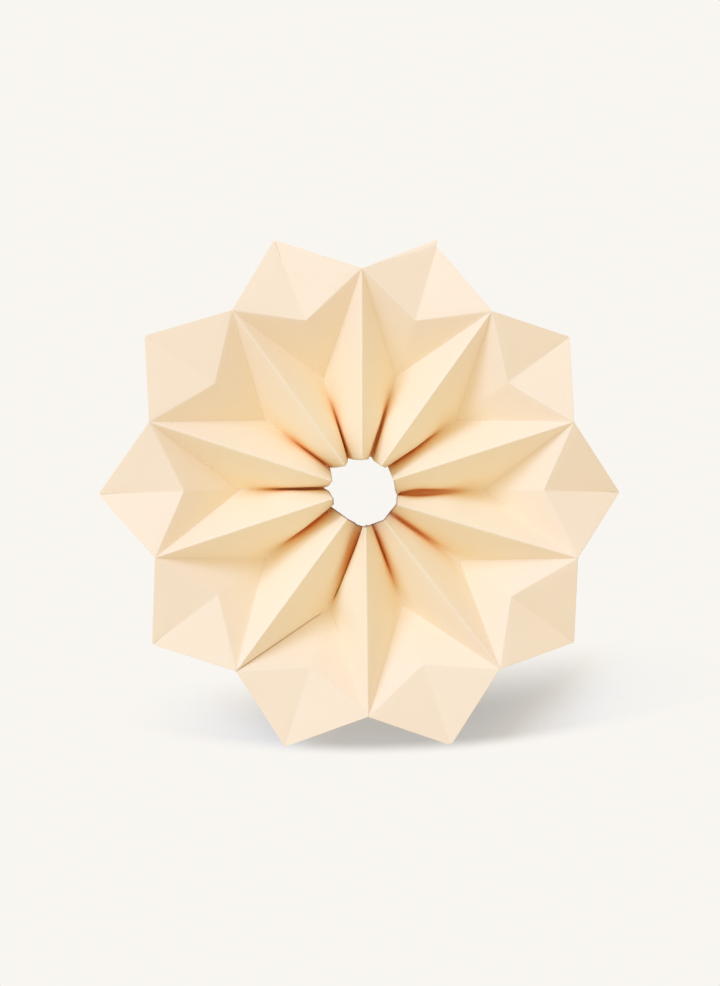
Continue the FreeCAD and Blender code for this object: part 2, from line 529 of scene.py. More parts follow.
@dataclass(frozen=True)
class ThreadFinish:
    """Undyed cotton, spun into plies."""

    colour: Colour = (0.82, 0.68, 0.49, 1.0)
    shade: Colour = (0.62, 0.46, 0.30, 1.0)
    roughness: float = 0.88
    sheen: float = 0.25
    fluff_scale: float = 6500.0
    fluff_stretch: tuple[float, float, float] = (1.0, 1.0, 2.5)
    fluff_ramp: tuple[float, float] = (0.3, 0.62)
    fluff_depth: float = 0.00006

    def make(self, name: str) -> bpy.types.Material:
        """Return the material.

        Args:
            name: the material's name.

        Returns:
            The material.
        """
        material, pen, place = new_finish(name, self.colour)
        drawn = pen.node("ShaderNodeMapping", {"Vector": place, "Scale": self.fluff_stretch}).outputs[0]
        fluff = pen.node("ShaderNodeTexNoise", {"Vector": drawn, "Scale": self.fluff_scale, "Detail": 2.0})
        body = pen.blend(pen.ramp(fluff.outputs[0], *self.fluff_ramp), self.shade, self.colour)
        bump = pen.node("ShaderNodeBump", {"Height": fluff.outputs[0], "Distance": self.fluff_depth})
        pen.fill(material.node_tree.nodes["Principled BSDF"], {
            "Base Color": body, "Roughness": self.roughness, "Normal": bump.outputs[0],
            "Sheen Weight": self.sheen,
        })
        return material


# ---------------------------------------------------------------- the folded sheet


@dataclass(frozen=True)
class StripSizes:
    """Sizes of the flat strip and of the star that it folds into."""

    points: int = 10
    ridge_length: float = 0.1095
    tip_reach: float = 0.030
    rim_break: float = 0.017
    valley_break: float = 0.0625
    tip_blunt: float = 0.0007
    hole_radius: float = 0.018
    ridge_rise: float = 1.2
    panel_spare: float = 0.0006
    thickness: float = 0.0003

    @property
    def sector(self) -> float:
        """The angle from one point of the star to the next."""
        return 360.0 / self.points

    @property
    def panel_width(self) -> float:
        """The width of one panel, from its ridge fold to its valley fold."""
        return float(self.ridge_point(self.ridge_length)[1]) + self.panel_spare

    def ridge_point(self, distance: float) -> np.ndarray:
        """Return the point of the ridge next to +X that lies a distance out from the hole.

        Args:
            distance: the length along the ridge from the hole's edge.

        Returns:
            The point as x, y, z.
        """
        rise, half = math.radians(self.ridge_rise), math.radians(self.sector / 2)
        radius = self.hole_radius + distance * math.cos(rise)
        return np.array([radius * math.cos(half), radius * math.sin(half), distance * math.sin(rise)])


@dataclass(frozen=True)
class FoldSolver:
    """Finds where the folds cross on the folded star, from lengths on the flat strip."""

    sizes: StripSizes

    @staticmethod
    def meet(
        centre_a: np.ndarray, radius_a: float, centre_b: np.ndarray, radius_b: float,
    ) -> list[np.ndarray]:
        """Return the two points of the plane y = 0 at the given distances from two points in space.

        Args:
            centre_a: the first point in space.
            radius_a: the distance from it.
            centre_b: the second point in space.
            radius_b: the distance from it.

        Returns:
            The two points.
        """
        reach_a = math.sqrt(radius_a ** 2 - centre_a[1] ** 2)
        reach_b = math.sqrt(radius_b ** 2 - centre_b[1] ** 2)
        start = np.array([centre_a[0], 0.0, centre_a[2]])
        span = np.array([centre_b[0], 0.0, centre_b[2]]) - start
        length = float(np.linalg.norm(span))
        along = (length ** 2 + reach_a ** 2 - reach_b ** 2) / (2 * length)
        aside = math.sqrt(reach_a ** 2 - along ** 2)
        direction = span / length
        normal = np.array([-direction[2], 0.0, direction[0]])
        middle = start + direction * along
        return [middle + normal * aside, middle - normal * aside]

    def corners(self) -> Corners:
        """Return the corners of the point on +X, with the ridges' inner ends at z = 0.

        Returns:
            The corners by name, each as x, y, z.
        """
        size = self.sizes
        width = size.panel_width
        inner = size.ridge_length - size.valley_break
        hole, rim = size.ridge_point(0.0), size.ridge_point(size.ridge_length)

        def across(drop: float) -> float:
            """Return the flat length of a fold that crosses the panel and drops so far."""
            return math.hypot(width, drop)

        def height(point: np.ndarray) -> float:
            """Return how high a point lies."""
            return point[2]

        valley_break = min(self.meet(rim, across(size.valley_break), hole, across(inner)), key=height)
        crest = size.valley_break - size.rim_break
        rim_break = max(self.meet(rim, across(size.rim_break), valley_break, crest), key=height)
        point_length = size.rim_break + size.tip_reach
        tip = min(self.meet(rim, across(size.tip_reach), rim_break, point_length), key=height)
        valley_end = min(self.meet(valley_break, inner, hole, width), key=height)
        return {"hole": hole, "rim": rim, "tip": tip, "rim_break": rim_break,
                "valley_break": valley_break, "valley_end": valley_end}

    def flat(self) -> Corners:
        """Return where each corner lies on the flat panel: (from its ridge, from the hole).

        Returns:
            The corners by name.
        """
        size = self.sizes
        width, length = size.panel_width, size.ridge_length
        return {"hole": np.array([0.0, 0.0]), "rim": np.array([0.0, length]),
                "tip": np.array([width, length + size.tip_reach]),
                "rim_break": np.array([width, length - size.rim_break]),
                "valley_break": np.array([width, length - size.valley_break]),
                "valley_end": np.array([width, 0.0])}


def blend_quad(corners: list[np.ndarray], rows: np.ndarray, columns: np.ndarray) -> np.ndarray:
    """Return a grid of points between four corners.

    Args:
        corners: the start and end of the first row, then of the last row.
        rows: each row's share of the way from the first row to the last.
        columns: each column's share of the way along a row.

    Returns:
        An array of rows by columns by the corners' own length.
    """
    down, across = rows[:, None, None], columns[None, :, None]
    first = corners[0] * (1 - across) + corners[1] * across
    last = corners[2] * (1 - across) + corners[3] * across
    return first * (1 - down) + last * down


@dataclass
class Patch:
    """A grid of points on the folded sheet."""

    places: np.ndarray
    flat: np.ndarray
    folds: tuple[str, ...]


@dataclass
class PointBuilder:
    """Builds one point of the star: two mirrored panels, from one ridge to the next."""

    sizes: StripSizes
    edge: float = 0.011
    along_ridge: int = 44
    across_panel: int = 16
    along_rim: int = 10
    towards_tip: int = 8
    pillow: float = 0.00022
    crown_scale: float = 16.0
    least_gap: float = 0.00026
    ease_rounds: int = 26

    def shares(self, count: int) -> np.ndarray:
        """Return evenly spread shares with one more close to each end, where a fold is rounded."""
        inner = np.linspace(self.edge, 1 - self.edge, count + 1)
        return np.concatenate([[0.0], inner, [1.0]])

    def flank_places(self, corners: Corners, flat: Corners) -> np.ndarray:
        """Return an even grid on the flank, from its outer fold to the hole.

        Args:
            corners: the folded corners.
            flat: the same corners on the flat panel.

        Returns:
            The grid of places, with the soft bend that runs from the hole to the valley eased.
        """
        rows = np.linspace(0.0, 1.0, self.along_ridge + 1)
        columns = np.linspace(0.0, 1.0, self.across_panel + 1)
        spots = blend_quad([flat[name] for name in FLANK], rows, columns)
        upper = self.map_triangle(spots, ["rim", "hole", "valley_break"], corners, flat)
        lower = self.map_triangle(spots, ["hole", "valley_break", "valley_end"], corners, flat)
        below = spots[..., 0] / self.sizes.panel_width > spots[..., 1] / flat["valley_break"][1]
        places = np.where(below[..., None], lower, upper)
        for _ in range(self.ease_rounds):
            inside = places[1:-1, 1:-1]
            mean = (places[:-2, 1:-1] + places[2:, 1:-1] + places[1:-1, :-2] + places[1:-1, 2:]) / 4
            rim = (places[-1, :-2] + places[-1, 2:]) / 2
            places[-1, 1:-1] = (places[-1, 1:-1] + rim) / 2
            places[1:-1, 1:-1] = (inside + mean) / 2
        return places

    @staticmethod
    def map_triangle(spots: np.ndarray, names: list[str], corners: Corners, flat: Corners) -> np.ndarray:
        """Carry flat spots onto a folded facet.

        Args:
            spots: points on the flat panel.
            names: the facet's three corners.
            corners: the folded corners.
            flat: the same corners on the flat panel.

        Returns:
            The places.
        """
        first, second, third = (flat[name] for name in names)
        basis = np.linalg.inv(np.column_stack([second - first, third - first]))
        two = (spots - first) @ basis.T
        shares = np.concatenate([1 - two.sum(-1, keepdims=True), two], axis=-1)
        return shares @ np.array([corners[name] for name in names])

    @staticmethod
    def resample(grid: np.ndarray, rows: np.ndarray, columns: np.ndarray) -> np.ndarray:
        """Return an even grid's places at other shares.

        Args:
            grid: places on an even grid.
            rows: the wanted shares down the grid.
            columns: the wanted shares across it.

        Returns:
            The places.
        """
        down, across = rows * (grid.shape[0] - 1), columns * (grid.shape[1] - 1)
        top = np.minimum(down.astype(int), grid.shape[0] - 2)
        left = np.minimum(across.astype(int), grid.shape[1] - 2)
        part_down, part_across = (down - top)[:, None, None], (across - left)[None, :, None]
        upper = grid[top][:, left] * (1 - part_across) + grid[top][:, left + 1] * part_across
        lower = grid[top + 1][:, left] * (1 - part_across) + grid[top + 1][:, left + 1] * part_across
        return upper * (1 - part_down) + lower * part_down

    def patches(self, setback: float) -> list[Patch]:
        """Return the three patches of the left panel.

        Args:
            setback: how far short of its full length the point stops.

        Returns:
            The flank, the middle facet and the outer facet.
        """
        solver = FoldSolver(self.sizes)
        corners, flat = solver.corners(), solver.flat()
        ridge, panel = self.shares(self.along_ridge), self.shares(self.across_panel)
        rim, tip = self.shares(self.along_rim), self.shares(self.towards_tip)
        flank = self.resample(self.flank_places(corners, flat), ridge, panel)
        flank[:, 1:-1, 1] = np.maximum(flank[:, 1:-1, 1], self.least_gap)
        flank_flat = blend_quad([flat[name] for name in FLANK], ridge, panel)
        three_sides = ("first_row", "first_column", "last_column")
        found = [Patch(flank, flank_flat, three_sides)]
        names = ("rim", "valley_break", "rim_break", "rim_break")
        found.append(self.flat_patch(names, corners, flat, rim, panel, three_sides))
        for table in (corners, flat):
            point = table["tip"] + self.part(table["rim_break"] - table["tip"], setback)
            table["fold_end"] = point + self.part(table["rim_break"] - point, self.sizes.tip_blunt)
            blunt = self.sizes.tip_blunt / self.sizes.tip_reach
            table["blunt_end"] = point + (table["rim"] - point) * blunt
        names = ("rim", "rim_break", "blunt_end", "fold_end")
        found.append(self.flat_patch(names, corners, flat, tip, rim, ("first_row", "last_column")))
        return found

    @staticmethod
    def part(span: np.ndarray, length: float) -> np.ndarray:
        """Return a span's direction times a length."""
        return span * (length / float(np.linalg.norm(span)))

    def flat_patch(
        self, names: tuple[str, ...], corners: Corners, flat: Corners,
        rows: np.ndarray, columns: np.ndarray, folds: tuple[str, ...],
    ) -> Patch:
        """Return a flat facet's grid, very slightly crowned.

        Args:
            names: its four corners: the first row's, then the last row's.
            corners: the folded corners.
            flat: the same corners on the flat panel.
            rows: the rows' shares.
            columns: the columns' shares.
            folds: which of its sides are folds.

        Returns:
            The patch.
        """
        four = [corners[name] for name in names]
        places = blend_quad(four, rows, columns)
        normal = np.cross(four[1] - four[0], four[2] - four[0])
        normal = normal / np.linalg.norm(normal) * np.sign(normal[2])
        crown = self.crown_scale * np.outer(rows * (1 - rows), columns * (1 - columns))
        places = places + normal * (self.pillow * crown)[..., None]
        return Patch(places, blend_quad([flat[name] for name in names], rows, columns), folds)

    def mesh(self, name: str, setback: float, sides: tuple[int, ...] = (1, -1)) -> bpy.types.Mesh:
        """Return a point's mesh, with the strip's coordinates as its UV map and its folds marked.

        Args:
            name: the mesh's name.
            setback: how far short of its full length the point stops.
            sides: 1 for the left panel and -1 for the right one.

        Returns:
            The mesh.
        """
        places, flats, faces, folds = [], [], [], set()
        for side in sides:
            for patch in self.patches(setback):
                start = sum(len(group) for group in places)
                rows, columns = patch.places.shape[:2]
                index = start + np.arange(rows * columns).reshape(rows, columns)
                places.append((patch.places * np.array([1.0, side, 1.0])).reshape(-1, 3))
                flats.append(patch.flat.reshape(-1, 2))
                quads = [index[:-1, :-1], index[1:, :-1], index[1:, 1:], index[:-1, 1:]]
                faces.append(np.stack(quads, -1).reshape(-1, 4))
                lines = {"first_row": index[0], "last_column": index[:, -1], "first_column": index[:, 0]}
                for fold in patch.folds:
                    folds.update(zip(lines[fold][:-1].tolist(), lines[fold][1:].tolist()))
        spots, strip = np.concatenate(places), np.concatenate(flats)
        rounded = np.round(spots, MERGE_DIGITS)
        _, first, merged = np.unique(rounded, axis=0, return_index=True, return_inverse=True)
        merged = merged.reshape(-1)
        corners = merged[np.concatenate(faces)]
        rings = [self.cleaned(ring) for ring in corners.tolist()]
        mesh = bpy.data.meshes.new(name)
        mesh.from_pydata(spots[first].tolist(), [], [ring for ring in rings if len(ring) > 2])
        layer = mesh.uv_layers.new(name="Strip")
        ends = pull(mesh.loops, "vertex_index", 1, int)[:, 0]
        layer.data.foreach_set("uv", strip[first][ends].astype(np.float32).ravel())
        marked = {tuple(sorted((int(merged[a]), int(merged[b])))) for a, b in folds}
        flags = [tuple(sorted(edge.vertices)) in marked for edge in mesh.edges]
        mesh.attributes.new("fold", "BOOLEAN", "EDGE").data.foreach_set("value", flags)
        self.face_forward(mesh)
        return mesh

    @staticmethod
    def cleaned(ring: list[int]) -> list[int]:
        """Return a face's corners without repeats."""
        return [corner for place, corner in enumerate(ring) if corner != ring[place - 1]]

    @staticmethod
    def face_forward(mesh: bpy.types.Mesh) -> None:
        """Turn every face of a sheet so that its front looks up the star's axis.

        Args:
            mesh: the sheet.
        """
        work = bmesh.new()
        work.from_mesh(mesh)
        work.normal_update()
        bmesh.ops.reverse_faces(work, faces=[face for face in work.faces if face.normal.z < 0])
        work.to_mesh(mesh)
        work.free()


def ring_tree() -> bpy.types.NodeTree:
    """Return the tree that sets points round the star's axis, joins them and ripples the sheet.

    Returns:
        The geometry node tree.
    """
    tree = new_group(
        "Ring of Points", "GeometryNodeTree",
        [("Geometry", "NodeSocketGeometry", None), ("Seam Point", "NodeSocketObject", None),
         ("Points", "NodeSocketInt", 10), ("Seam Index", "NodeSocketInt", 2),
         ("Join Distance", "NodeSocketFloat", 0.00001), ("Ripple", "NodeSocketFloat", 0.0002),
         ("Ripple Scale", "NodeSocketFloat", 30.0), ("Seed", "NodeSocketInt", 7),
         ("Paper", "NodeSocketMaterial", None)],
        [("Geometry", "NodeSocketGeometry")],
    )
    pen = Sketch(tree)
    given = pen.node("NodeGroupInput").outputs
    places = pen.node("GeometryNodeMeshLine", {"Count": given["Points"], "Offset": (0.0, 0.0, 0.0)})
    index = pen.node("GeometryNodeInputIndex").outputs[0]
    turn = pen.math("MULTIPLY", index, pen.math("DIVIDE", math.tau, given["Points"]))
    angles = pen.node("ShaderNodeCombineXYZ", {2: turn}).outputs[0]
    rotation = pen.node("FunctionNodeEulerToRotation", {0: angles})
    seam = pen.node("GeometryNodeObjectInfo", {"Object": given["Seam Point"]})
    kinds = pen.node("GeometryNodeGeometryToInstance")
    tree.links.new(seam.outputs["Geometry"], kinds.inputs[0])
    tree.links.new(given["Geometry"], kinds.inputs[0])
    is_seam = pen.node("FunctionNodeCompare", {2: index, 3: given["Seam Index"]},
                       data_type="INT", operation="EQUAL")
    inputs = {"Points": places.outputs[0], "Instance": kinds.outputs[0], "Rotation": rotation.outputs[0],
              "Pick Instance": True, "Instance Index": is_seam.outputs[0]}
    copies = pen.node("GeometryNodeInstanceOnPoints", inputs)
    real = pen.node("GeometryNodeRealizeInstances", {0: copies.outputs[0]})
    joined = pen.node("GeometryNodeMergeByDistance", {0: real.outputs[0], "Distance": given["Join Distance"]})
    inputs = {"W": given["Seed"], "Scale": given["Ripple Scale"], "Detail": 0.0}
    noise = pen.node("ShaderNodeTexNoise", inputs, noise_dimensions="4D")
    swell = pen.math("MULTIPLY", pen.math("SUBTRACT", noise.outputs[0], 0.5), given["Ripple"])
    shift = pen.vector("SCALE", pen.node("GeometryNodeInputNormal").outputs[0], swell)
    moved = pen.node("GeometryNodeSetPosition", {0: joined.outputs[0], "Offset": shift})
    smooth = pen.node("GeometryNodeSetShadeSmooth", {0: moved.outputs[0], "Shade Smooth": True})
    dressed = pen.node("GeometryNodeSetMaterial", {0: smooth.outputs[0], "Material": given["Paper"]})
    pen.node("NodeGroupOutput", {0: dressed.outputs[0]})
    return tree


@dataclass(frozen=True)
class PleatPress:
    """How the drawn thread presses each pair of panels together near the hole.

    The lists go pleat by pleat anticlockwise from +X. Shut and held are how far the panels are
    pressed, from 0 to 1: at the hole's edge and a little further out. Lean leaves the panel on one
    side less pressed. Mouth and gape are half of the slot between the panels at the same two
    places, swing is how far the slot is pushed aside at the hole, and length is how far out it
    goes, in millimetres.
    """

    shut: tuple[float, ...] = (1.0, 0.7, 0.8, 0.25, 0.1, 0.6, 0.5, 1.0, 0.4, 0.35)
    held: tuple[float, ...] = (1.0, 0.8, 1.0, 0.5, 0.35, 0.9, 0.7, 1.0, 0.4, 0.35)
    lean: tuple[float, ...] = (0.3, 0.9, 0.2, 0.0, 0.0, 0.3, -0.9, 0.7, -0.5, -0.4)
    mouth: tuple[float, ...] = (0.4, 0.6, 1.1, 0.3, 0.2, 0.7, 0.4, 0.15, 0.25, 0.4)
    gape: tuple[float, ...] = (1.9, 0.7, 1.2, 0.35, 0.25, 1.0, 0.6, 0.1, 0.4, 0.8)
    swing: tuple[float, ...] = (-0.5, 0.8, 0.6, 0.9, 0.0, 0.0, 0.0, 5.2, -0.6, -0.2)
    length: tuple[float, ...] = (42.0, 42.0, 38.0, 32.0, 30.0, 39.0, 42.0, 60.0, 31.0, 31.0)
    gape_place: float = 0.012
    steady: float = 0.45
    shoulder: tuple[float, float] = (0.12, 0.6)
    closing: float = 0.88
    swing_end: float = 0.060

    def apply(self, places: np.ndarray, strip: np.ndarray, sizes: StripSizes) -> np.ndarray:
        """Return places on the even star, with the pleats pressed.

        Args:
            places: points as rows of x, y, z.
            strip: where they lie on the flat panel: from its ridge, and from the hole.
            sizes: the strip and the star.

        Returns:
            The moved points.
        """
        angle = bearing(places) % 360
        pleat = np.round(angle / sizes.sector).astype(int)
        turn = np.radians(pleat * sizes.sector)
        pleat = pleat % sizes.points
        radial = places[:, 0] * np.cos(turn) + places[:, 1] * np.sin(turn)
        aside = places[:, 1] * np.cos(turn) - places[:, 0] * np.sin(turn)
        share, out = strip[:, 0] / sizes.panel_width, strip[:, 1]
        side, length = np.sign(aside), np.array(self.length)[pleat] / MILLIMETRES
        low, high = self.shoulder
        slot = self.along(out, self.mouth, self.gape, pleat) / MILLIMETRES
        slot = slot * (1 - ease((out - self.gape_place) / (length - self.gape_place)))
        slot = slot * np.sqrt(1 - np.clip((share - self.closing) / (1 - self.closing), 0, 1) ** 2)
        middle = np.array(self.swing)[pleat] / MILLIMETRES * (1 - np.clip(out / self.swing_end, 0, 1))
        release = ease((out / length - self.steady) / (1 - self.steady))
        hold = ease((share - low) / (high - low)) * (1 - release)
        hold = hold * self.along(out, self.shut, self.held, pleat)
        left_out = 1 - ease((share - high) / (1 - high))
        hold = hold * (1 + np.clip(side * np.array(self.lean)[pleat], -1, 0) * left_out)
        aside = aside + hold * (side * slot + middle - aside)
        flat = np.column_stack([radial * np.cos(turn) - aside * np.sin(turn),
                                radial * np.sin(turn) + aside * np.cos(turn)])
        return np.column_stack([flat, places[:, 2]])

    def along(
        self, out: np.ndarray, first: tuple[float, ...], second: tuple[float, ...], pleat: np.ndarray,
    ) -> np.ndarray:
        """Return each pleat's value: the first list's at the hole's edge, the second's further out."""
        share = ease(out / self.gape_place)
        return np.array(first)[pleat] * (1 - share) + np.array(second)[pleat] * share


@dataclass(frozen=True)
class HandFolding:
    """How a folder's hand leaves the folds a little uneven, fold by fold anticlockwise from +X.

    In the lists of twenty, points and ridges take turns. Turns are in degrees about the axis and
    the rest is in millimetres: outwards, or upwards for a lift.
    """

    hole_turn: tuple[float, ...] = (
        -6.3, 1.5, 4.3, -1.0, 0.0, 0.6, 4.6, -1.6, 1.5, 0.5,
        -2.2, -3.3, -5.3, 7.5, 8.0, 5.2, 0.1, 0.7, -3.0, -4.0,
    )
    hole_reach: tuple[float, ...] = (
        -1.0, 0.7, -1.8, -0.2, -2.7, -0.4, -2.7, -0.7, -0.2, 0.1,
        -0.8, -1.0, -2.1, -0.1, -1.7, 2.3, -1.0, 2.4, -1.0, 2.6,
    )
    turn: tuple[float, ...] = (
        0.1, 0.1, 0.6, 0.3, 0.7, 0.2, 0.4, -0.2, 0.1, 0.0,
        0.0, -0.2, -0.3, 0.9, 1.5, 1.4, 1.2, 1.7, 0.5, 0.7,
    )
    reach: tuple[float, ...] = (
        0.4, -0.1, 0.3, -0.8, -1.5, -0.2, -1.0, -0.1, 0.8, 0.6,
        -1.4, -2.9, -1.4, -1.5, 2.2, 2.2, 2.2, 1.6, 1.3, 1.9,
    )
    tip_turn: tuple[float, ...] = (-0.6, 0.3, 0.9, 1.3, 0.5, 0.9, 0.2, 1.1, 1.2, 0.3)
    tip_reach: tuple[float, ...] = (0.1, -0.3, 1.4, 2.4, 2.2, 1.7, -0.9, 2.7, 5.0, 1.8)
    tip_lift: tuple[float, ...] = (-19.0, -17.0, -9.0, -9.0, 6.0, -9.0, 1.0, 8.0, 1.0, -13.0)
    break_turn: tuple[float, ...] = (-0.4, 0.2, 1.0, 0.6, 0.2, 0.1, -0.2, 3.1, 1.7, 0.1)
    break_reach: tuple[float, ...] = (2.8, -0.2, -0.2, -0.2, 0.2, 2.1, 0.2, 2.1, 2.7, 2.0)
    break_lift: tuple[float, ...] = (-0.2, 0.0, -2.0, -0.7, 0.2, -0.9, -2.9, -1.1, -1.2, -1.2)

    def moves(self, corners: Corners) -> dict[str, np.ndarray]:
        """Return each corner's move at every fold, as rows of x, y, z.

        Args:
            corners: the corners of the even star's point on +X.

        Returns:
            The moves by the corner's name: one row for each ridge or each point.
        """
        point, ridge = slice(0, None, 2), slice(1, None, 2)
        lists = {
            "hole": (self.hole_turn[ridge], self.hole_reach[ridge], None),
            "rim": (self.turn[ridge], self.reach[ridge], None),
            "valley_end": (self.hole_turn[point], self.hole_reach[point], None),
            "valley_break": (self.break_turn, self.break_reach, None),
            "rim_break": (self.turn[point], self.reach[point], self.break_lift),
            "tip": (self.tip_turn, self.tip_reach, self.tip_lift),
        }
        found = {}
        for name, (turns, reaches, lifts) in lists.items():
            start = corners[name]
            radius, base = math.hypot(start[0], start[1]), math.atan2(start[1], start[0])
            rows = []
            for index, (turn, reach) in enumerate(zip(turns, reaches)):
                angle = base + index * math.tau / len(turns)
                far = radius + reach / MILLIMETRES
                moved = angle + math.radians(turn)
                rows.append((far * math.cos(moved) - radius * math.cos(angle),
                             far * math.sin(moved) - radius * math.sin(angle),
                             lifts[index] / MILLIMETRES if lifts else 0.0))
            found[name] = np.array(rows)
        return found

    def apply(self, places: np.ndarray, strip: np.ndarray, sizes: StripSizes) -> np.ndarray:
        """Return places on the star, moved as the corners of their facet are.

        Args:
            places: points as rows of x, y, z.
            strip: where they lie on the flat panel: from its ridge, and from the hole.
            sizes: the strip and the star.

        Returns:
            The moved points.
        """
        angle = bearing(places) % 360
        ridge = (angle // sizes.sector).astype(int) % sizes.points
        point = np.round(angle / sizes.sector).astype(int) % sizes.points
        moves = self.moves(FoldSolver(sizes).corners())
        moved = places.copy()
        for name, share in facet_shares(strip, sizes).items():
            index = ridge if name in ("hole", "rim") else point
            moved += moves[name][index] * share[:, None]
        return moved


def ease(share: np.ndarray) -> np.ndarray:
    """Return 0 to 1 with eased ends, held there outside."""
    held = np.clip(share, 0, 1)
    return held * held * (3 - 2 * held)


def facet_shares(strip: np.ndarray, sizes: StripSizes) -> dict[str, np.ndarray]:
    """Return how much of each corner a place on the flat panel has.

    Args:
        strip: places on the flat panel: from its ridge, and from the hole.
        sizes: the strip and the star.

    Returns:
        The shares by the corner's name. They add up to 1, and only the facet's own are not 0.
    """
    across, out = strip[:, 0] / sizes.panel_width, strip[:, 1]
    inner = sizes.ridge_length - sizes.valley_break
    beyond = out - sizes.ridge_length
    past_rim = (beyond + sizes.rim_break * across) / (sizes.rim_break + sizes.tip_reach)
    past_break = (beyond + sizes.valley_break * across) / (sizes.valley_break - sizes.rim_break)
    tip = np.clip(past_rim, 0, 1)
    crest = np.where(past_rim > 0, across - tip, np.clip(past_break, 0, 1))
    low = across - tip - crest
    on_flank = past_break <= 0
    end = np.clip(np.where(on_flank, across - out / inner, 0.0), 0, 1)
    sunk = np.where(on_flank, across - end, low)
    crest = np.where(on_flank, 0.0, crest)
    ridge_out = np.where(on_flank, (out - inner * sunk) / sizes.ridge_length, 1 - across)
    return {"hole": 1 - ridge_out - across, "rim": ridge_out, "valley_end": end,
            "valley_break": sunk, "rim_break": crest, "tip": tip}


@dataclass
class FoldedStar:
    """The folded sheet and its glue tab."""

    sizes: StripSizes
    paper: bpy.types.Material
    cut_edge: bpy.types.Material
    folding: HandFolding = field(default_factory=HandFolding)
    press: PleatPress = field(default_factory=PleatPress)
    seam_index: int = 2
    seam_setback: float = 0.0045
    ripple: float = 0.00035
    ripple_scale: float = 26.0
    seed: int = 7
    tab_gap: float = 0.0002
    tab_curl: float = 0.45
    tab_short: float = 0.0014
    tab_short_over: float = 0.004
    thread_from_valley: float = 0.008
    thread_from_edge: float = 0.003

    def __post_init__(self) -> None:
        """Make the builder of the points."""
        self.builder = PointBuilder(self.sizes)
        self.lift = 0.0
        self.crossings = np.zeros((0, 3))

    def build(self) -> bpy.types.Object:
        """Return the folded sheet as one piece.

        Returns:
            The sheet, whose lift and thread crossings are then known.
        """
        plain = new_object("plain_point", self.builder.mesh("plain_point", 0.0))
        seam = new_object("seam_point", self.builder.mesh("seam_point", self.seam_setback))
        values = {"Seam Point": seam, "Points": self.sizes.points, "Seam Index": self.seam_index,
                  "Ripple": self.ripple, "Ripple Scale": self.ripple_scale, "Seed": self.seed,
                  "Paper": self.paper}
        mesh = bake_nodes(plain, ring_tree(), values)
        for spare in (plain, seam):
            bpy.data.objects.remove(spare)
        places = self.shape(mesh)
        lowest = float(places[:, 2].min())
        self.lift = float(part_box("folded_star")[0].z) - lowest + self.sizes.thickness / 2
        places[:, 2] += self.lift
        self.write(mesh, places)
        self.crossings = self.find_crossings(places, self.strip_places(mesh))
        return self.thicken("folded_sheet", mesh)

    def shape(self, mesh: bpy.types.Mesh) -> np.ndarray:
        """Press and fold an even sheet, round its folds, and return its places.

        Args:
            mesh: the even sheet.

        Returns:
            The places as rows of x, y, z.
        """
        strip = self.strip_places(mesh)
        places = self.press.apply(self.read(mesh), strip, self.sizes)
        places = self.folding.apply(places, strip, self.sizes)
        return self.rounded(mesh, places)

    def find_crossings(self, places: np.ndarray, strip: np.ndarray) -> np.ndarray:
        """Return where the gathering thread passes through each panel, anticlockwise from +X.

        Args:
            places: the folded sheet's places.
            strip: the same points on the flat panel.

        Returns:
            Twenty places as rows of x, y, z.
        """
        wanted = np.array([self.sizes.panel_width - self.thread_from_valley, self.thread_from_edge])
        far = np.linalg.norm(strip - wanted, axis=1)
        close = np.flatnonzero(far < far.min() + SAME_PLACE)
        angle = bearing(places[close])
        return places[close[np.argsort((angle + self.sizes.sector / 2) % 360)]]

    def build_tab(self) -> bpy.types.Object:
        """Return the strip's last panel, glued behind the seam's left half.

        Returns:
            The tab, cut back from the ridge fold.
        """
        mesh = self.builder.mesh("glue_tab", 0.0, (1,))
        turn = math.radians(self.seam_index * self.sizes.sector)
        mesh.transform(Matrix.Rotation(turn, 4, "Z"))
        places = self.shape(mesh)
        self.write(mesh, places)
        normals = pull(mesh.vertices, "normal", 3)
        strip = self.strip_places(mesh)
        reach = (self.sizes.tip_reach - self.seam_setback) / self.sizes.panel_width
        beyond = np.clip(strip[:, 1] - self.sizes.ridge_length - reach * strip[:, 0], 0, None)
        drop = self.sizes.thickness + self.tab_gap + self.tab_curl * beyond
        places = self.short_of_ridge(places, strip) - normals * drop[:, None]
        places[:, 2] += self.lift
        self.write(mesh, places)
        mesh.materials.append(self.paper)
        return self.thicken("glue_tab", mesh)

    def short_of_ridge(self, places: np.ndarray, strip: np.ndarray) -> np.ndarray:
        """Return the tab's places with its cut edge drawn back from the ridge fold.

        Args:
            places: the tab's places.
            strip: the same points on the flat panel.

        Returns:
            The places, where those next to the ridge have moved along the panel.
        """
        wanted = strip + np.array([self.tab_short_over, 0.0])
        further = np.linalg.norm(strip[None] - wanted[:, None], axis=2).argmin(axis=1)
        share = np.clip(1 - strip[:, 0] / self.tab_short_over, 0, 1)
        share = share * self.tab_short / self.tab_short_over
        return places + (places[further] - places) * share[:, None]

    @staticmethod
    def strip_places(mesh: bpy.types.Mesh) -> np.ndarray:
        """Return where a mesh's points lie on the flat panel, from its UV map.

        Args:
            mesh: a mesh with the strip as its UV map.

        Returns:
            Rows of the distance from the ridge and from the hole.
        """
        strip = np.zeros((len(mesh.vertices), 2))
        strip[pull(mesh.loops, "vertex_index", 1, int)[:, 0]] = pull(mesh.uv_layers["Strip"].data, "uv", 2)
        return strip

    @staticmethod
    def read(mesh: bpy.types.Mesh) -> np.ndarray:
        """Return a mesh's places as rows of x, y, z."""
        return pull(mesh.vertices, "co", 3).astype(float)

    @staticmethod
    def write(mesh: bpy.types.Mesh, places: np.ndarray) -> None:
        """Set a mesh's places."""
        mesh.vertices.foreach_set("co", places.astype(np.float32).ravel())
        mesh.update()

